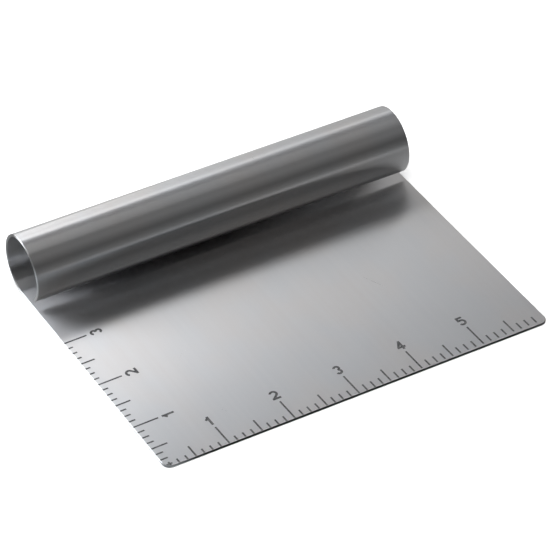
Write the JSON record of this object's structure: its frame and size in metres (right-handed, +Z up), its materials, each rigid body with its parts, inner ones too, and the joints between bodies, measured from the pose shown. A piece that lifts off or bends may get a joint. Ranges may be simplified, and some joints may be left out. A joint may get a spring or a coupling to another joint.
{
  "type": "bench scraper",
  "caption": "Flat sheet steel dough scraper whose back edge is rolled into a hollow cylindrical handle, with inch scales along its front and left edges.",
  "frame": {"origin": "middle of the footprint, on the underside of the blade and of the roll", "axes": "+X along the rolled handle and the scraping edge, +Y from the scraping edge to the handle, +Z up, out of the face that carries the scales"},
  "size_m": [0.1524, 0.1182, 0.0254],
  "materials": {
    "stainless_sheet": "satin, fine grain",
    "dark_fill": "matte baked enamel fill"
  },
  "bodies": {
    "root": {"blade": "stainless_sheet", "rolled_handle": "stainless_sheet", "front_inch_lines": "dark_fill", "front_half_inch_lines": "dark_fill", "front_eighth_inch_lines": "dark_fill", "side_inch_lines": "dark_fill", "side_half_inch_lines": "dark_fill", "side_eighth_inch_lines": "dark_fill", "front_numeral_1": "dark_fill", "front_numeral_2": "dark_fill", "front_numeral_3": "dark_fill", "front_numeral_4": "dark_fill", "front_numeral_5": "dark_fill", "side_numeral_1": "dark_fill", "side_numeral_2": "dark_fill", "side_numeral_3": "dark_fill"}
  },
  "joints": []
}
